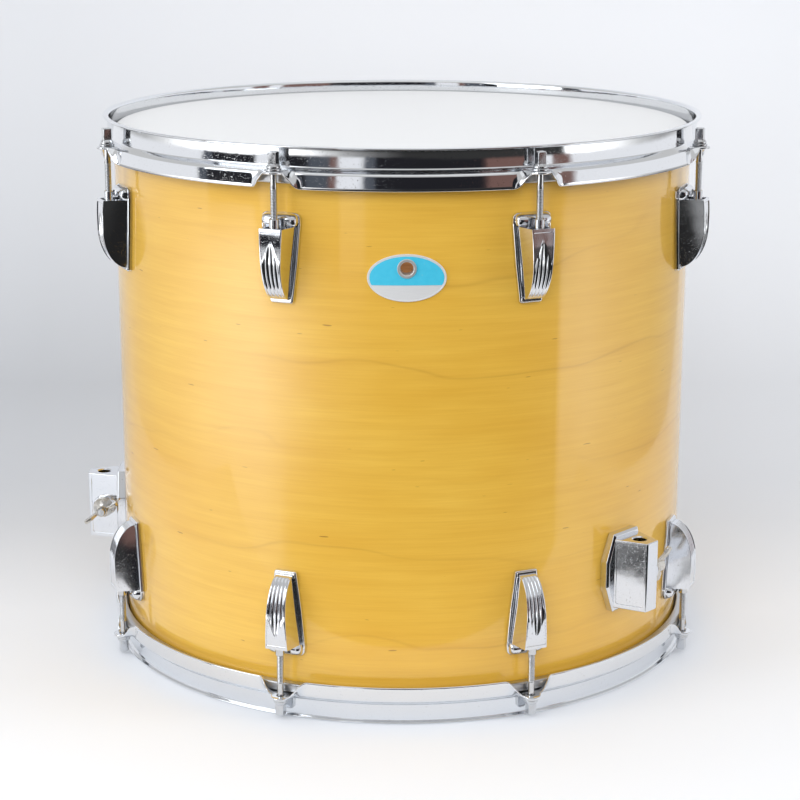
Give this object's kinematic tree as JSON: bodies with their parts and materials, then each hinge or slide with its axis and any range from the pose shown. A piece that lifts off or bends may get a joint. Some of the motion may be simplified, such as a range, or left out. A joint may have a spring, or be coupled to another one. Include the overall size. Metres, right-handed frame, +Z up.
{
  "type": "tom tom drum",
  "caption": "Floor tom with a lacquered maple shell, a head and chromed triple-flanged hoop at each end, tension rods in fin lugs, and leg brackets.",
  "frame": {"origin": "centre of the resonant (lower) head's outer face, on the drum's axis; the lower hoop's rim, on which the drum stands, is 8.95 mm below it", "axes": "+Z up along the drum's axis towards the batter head, -Y towards the badge side, +X to the right of a viewer who faces the badge"},
  "size_m": [0.5007, 0.4989, 0.4257],
  "materials": {
    "lacquered_maple": "clear gloss lacquer over figured maple veneer",
    "chrome": "bright chrome plate, lightly hazed",
    "zinc_plate": "dull plated steel",
    "coated_film": "white sprayed coating on polyester film",
    "clear_film": "hazy polyester film",
    "aluminium": "mill finish",
    "badge_enamel": "coloured field on brushed aluminium",
    "worn_nickel": "worn nickel plate"
  },
  "bodies": {
    "resonant_hoop": {"resonant_hoop": "chrome"},
    "shell_assembly": {"badge": "badge_enamel", "batter_flesh_hoop": "aluminium", "batter_head": "coated_film", "batter_lug_1": "chrome", "batter_lug_2": "chrome", "batter_lug_3": "chrome", "batter_lug_4": "chrome", "batter_lug_5": "chrome", "batter_lug_6": "chrome", "batter_lug_7": "chrome", "batter_lug_8": "chrome", "bracket_screw_left_lower": "zinc_plate", "bracket_screw_left_upper": "zinc_plate", "bracket_screw_rear_lower": "zinc_plate", "bracket_screw_rear_upper": "zinc_plate", "bracket_screw_right_lower": "zinc_plate", "bracket_screw_right_upper": "zinc_plate", "leg_bracket_left": "chrome", "leg_bracket_rear": "chrome", "leg_bracket_right": "chrome", "resonant_flesh_hoop": "aluminium", "resonant_head": "clear_film", "resonant_lug_1": "chrome", "resonant_lug_2": "chrome", "resonant_lug_3": "chrome", "resonant_lug_4": "chrome", "resonant_lug_5": "chrome", "resonant_lug_6": "chrome", "resonant_lug_7": "chrome", "resonant_lug_8": "chrome", "shell": "lacquered_maple", "vent_grommet": "zinc_plate"},
    "batter_hoop": {"batter_hoop": "chrome"},
    "batter_tension_rod_1": {"batter_tension_rod_1": "zinc_plate"},
    "batter_tension_rod_2": {"batter_tension_rod_2": "zinc_plate"},
    "batter_tension_rod_3": {"batter_tension_rod_3": "zinc_plate"},
    "batter_tension_rod_4": {"batter_tension_rod_4": "zinc_plate"},
    "batter_tension_rod_5": {"batter_tension_rod_5": "zinc_plate"},
    "batter_tension_rod_6": {"batter_tension_rod_6": "zinc_plate"},
    "batter_tension_rod_7": {"batter_tension_rod_7": "zinc_plate"},
    "batter_tension_rod_8": {"batter_tension_rod_8": "zinc_plate"},
    "leg_eyebolt_left": {"leg_eyebolt_left": "zinc_plate"},
    "leg_eyebolt_rear": {"leg_eyebolt_rear": "zinc_plate"},
    "leg_eyebolt_right": {"leg_eyebolt_right": "zinc_plate"},
    "leg_wing_nut_left": {"leg_wing_nut_left": "worn_nickel"},
    "leg_wing_nut_rear": {"leg_wing_nut_rear": "worn_nickel"},
    "leg_wing_nut_right": {"leg_wing_nut_right": "worn_nickel"},
    "resonant_tension_rod_1": {"resonant_tension_rod_1": "zinc_plate"},
    "resonant_tension_rod_2": {"resonant_tension_rod_2": "zinc_plate"},
    "resonant_tension_rod_3": {"resonant_tension_rod_3": "zinc_plate"},
    "resonant_tension_rod_4": {"resonant_tension_rod_4": "zinc_plate"},
    "resonant_tension_rod_5": {"resonant_tension_rod_5": "zinc_plate"},
    "resonant_tension_rod_6": {"resonant_tension_rod_6": "zinc_plate"},
    "resonant_tension_rod_7": {"resonant_tension_rod_7": "zinc_plate"},
    "resonant_tension_rod_8": {"resonant_tension_rod_8": "zinc_plate"}
  },
  "joints": [
    {"name": "resonant_hoop_release", "type": "slide", "parent": "resonant_hoop", "child": "shell_assembly", "axis": [0, 0, 1], "range_m": [0, 0.01]},
    {"name": "batter_hoop_release", "type": "slide", "parent": "shell_assembly", "child": "batter_hoop", "axis": [0, 0, 1], "range_m": [0, 0.01]},
    {"name": "batter_rod_1_turn", "type": "hinge", "parent": "batter_hoop", "child": "batter_tension_rod_1", "pos_m": [0.09272, -0.22386, 0.39975], "axis": [0, 0, 1], "range_deg": [0, 3402]},
    {"name": "batter_rod_2_turn", "type": "hinge", "parent": "batter_hoop", "child": "batter_tension_rod_2", "pos_m": [0.22386, -0.09272, 0.39975], "axis": [0, 0, 1], "range_deg": [0, 3402]},
    {"name": "batter_rod_3_turn", "type": "hinge", "parent": "batter_hoop", "child": "batter_tension_rod_3", "pos_m": [0.22386, 0.09272, 0.39975], "axis": [0, 0, 1], "range_deg": [0, 3402]},
    {"name": "batter_rod_4_turn", "type": "hinge", "parent": "batter_hoop", "child": "batter_tension_rod_4", "pos_m": [0.09272, 0.22386, 0.39975], "axis": [0, 0, 1], "range_deg": [0, 3402]},
    {"name": "batter_rod_5_turn", "type": "hinge", "parent": "batter_hoop", "child": "batter_tension_rod_5", "pos_m": [-0.09272, 0.22386, 0.39975], "axis": [0, 0, 1], "range_deg": [0, 3402]},
    {"name": "batter_rod_6_turn", "type": "hinge", "parent": "batter_hoop", "child": "batter_tension_rod_6", "pos_m": [-0.22386, 0.09272, 0.39975], "axis": [0, 0, 1], "range_deg": [0, 3402]},
    {"name": "batter_rod_7_turn", "type": "hinge", "parent": "batter_hoop", "child": "batter_tension_rod_7", "pos_m": [-0.22386, -0.09272, 0.39975], "axis": [0, 0, 1], "range_deg": [0, 3402]},
    {"name": "batter_rod_8_turn", "type": "hinge", "parent": "batter_hoop", "child": "batter_tension_rod_8", "pos_m": [-0.09272, -0.22386, 0.39975], "axis": [0, 0, 1], "range_deg": [0, 3402]},
    {"name": "resonant_rod_1_turn", "type": "hinge", "parent": "resonant_hoop", "child": "resonant_tension_rod_1", "pos_m": [0.09272, -0.22386, 0.00805], "axis": [0, 0, -1], "range_deg": [0, 3402]},
    {"name": "resonant_rod_2_turn", "type": "hinge", "parent": "resonant_hoop", "child": "resonant_tension_rod_2", "pos_m": [0.22386, -0.09272, 0.00805], "axis": [0, 0, -1], "range_deg": [0, 3402]},
    {"name": "resonant_rod_3_turn", "type": "hinge", "parent": "resonant_hoop", "child": "resonant_tension_rod_3", "pos_m": [0.22386, 0.09272, 0.00805], "axis": [0, 0, -1], "range_deg": [0, 3402]},
    {"name": "resonant_rod_4_turn", "type": "hinge", "parent": "resonant_hoop", "child": "resonant_tension_rod_4", "pos_m": [0.09272, 0.22386, 0.00805], "axis": [0, 0, -1], "range_deg": [0, 3402]},
    {"name": "resonant_rod_5_turn", "type": "hinge", "parent": "resonant_hoop", "child": "resonant_tension_rod_5", "pos_m": [-0.09272, 0.22386, 0.00805], "axis": [0, 0, -1], "range_deg": [0, 3402]},
    {"name": "resonant_rod_6_turn", "type": "hinge", "parent": "resonant_hoop", "child": "resonant_tension_rod_6", "pos_m": [-0.22386, 0.09272, 0.00805], "axis": [0, 0, -1], "range_deg": [0, 3402]},
    {"name": "resonant_rod_7_turn", "type": "hinge", "parent": "resonant_hoop", "child": "resonant_tension_rod_7", "pos_m": [-0.22386, -0.09272, 0.00805], "axis": [0, 0, -1], "range_deg": [0, 3402]},
    {"name": "resonant_rod_8_turn", "type": "hinge", "parent": "resonant_hoop", "child": "resonant_tension_rod_8", "pos_m": [-0.09272, -0.22386, 0.00805], "axis": [0, 0, -1], "range_deg": [0, 3402]},
    {"name": "wing_nut_right_turn", "type": "hinge", "parent": "shell_assembly", "child": "leg_wing_nut_right", "pos_m": [0.17708, -0.1722, 0.08645], "axis": [0.6972, 0.7169, 0], "range_deg": [-341, 284]},
    {"name": "eyebolt_right_draw", "type": "slide", "parent": "shell_assembly", "child": "leg_eyebolt_right", "axis": [0.6972, 0.7169, 0], "range_m": [-0.001, 0.0012]},
    {"name": "wing_nut_left_turn", "type": "hinge", "parent": "shell_assembly", "child": "leg_wing_nut_left", "pos_m": [-0.247, 0, 0.09045], "axis": [0, -1, 0], "range_deg": [-341, 284]},
    {"name": "eyebolt_left_draw", "type": "slide", "parent": "shell_assembly", "child": "leg_eyebolt_left", "axis": [0, -1, 0], "range_m": [-0.001, 0.0012]},
    {"name": "wing_nut_rear_turn", "type": "hinge", "parent": "shell_assembly", "child": "leg_wing_nut_rear", "pos_m": [0, 0.247, 0.08645], "axis": [-1, 0, 0], "range_deg": [-341, 284]},
    {"name": "eyebolt_rear_draw", "type": "slide", "parent": "shell_assembly", "child": "leg_eyebolt_rear", "axis": [-1, 0, 0], "range_m": [-0.001, 0.0012]}
  ],
  "couplings": [
    {"joint": "batter_rod_1_turn", "follows": "batter_hoop_release", "rad_per_m": 5936.9},
    {"joint": "batter_rod_2_turn", "follows": "batter_hoop_release", "rad_per_m": 5936.9},
    {"joint": "batter_rod_3_turn", "follows": "batter_hoop_release", "rad_per_m": 5936.9},
    {"joint": "batter_rod_4_turn", "follows": "batter_hoop_release", "rad_per_m": 5936.9},
    {"joint": "batter_rod_5_turn", "follows": "batter_hoop_release", "rad_per_m": 5936.9},
    {"joint": "batter_rod_6_turn", "follows": "batter_hoop_release", "rad_per_m": 5936.9},
    {"joint": "batter_rod_7_turn", "follows": "batter_hoop_release", "rad_per_m": 5936.9},
    {"joint": "batter_rod_8_turn", "follows": "batter_hoop_release", "rad_per_m": 5936.9},
    {"joint": "resonant_rod_1_turn", "follows": "resonant_hoop_release", "rad_per_m": 5936.9},
    {"joint": "resonant_rod_2_turn", "follows": "resonant_hoop_release", "rad_per_m": 5936.9},
    {"joint": "resonant_rod_3_turn", "follows": "resonant_hoop_release", "rad_per_m": 5936.9},
    {"joint": "resonant_rod_4_turn", "follows": "resonant_hoop_release", "rad_per_m": 5936.9},
    {"joint": "resonant_rod_5_turn", "follows": "resonant_hoop_release", "rad_per_m": 5936.9},
    {"joint": "resonant_rod_6_turn", "follows": "resonant_hoop_release", "rad_per_m": 5936.9},
    {"joint": "resonant_rod_7_turn", "follows": "resonant_hoop_release", "rad_per_m": 5936.9},
    {"joint": "resonant_rod_8_turn", "follows": "resonant_hoop_release", "rad_per_m": 5936.9},
    {"joint": "wing_nut_right_turn", "follows": "eyebolt_right_draw", "rad_per_m": -4947.4},
    {"joint": "wing_nut_left_turn", "follows": "eyebolt_left_draw", "rad_per_m": -4947.4},
    {"joint": "wing_nut_rear_turn", "follows": "eyebolt_rear_draw", "rad_per_m": -4947.4}
  ]
}
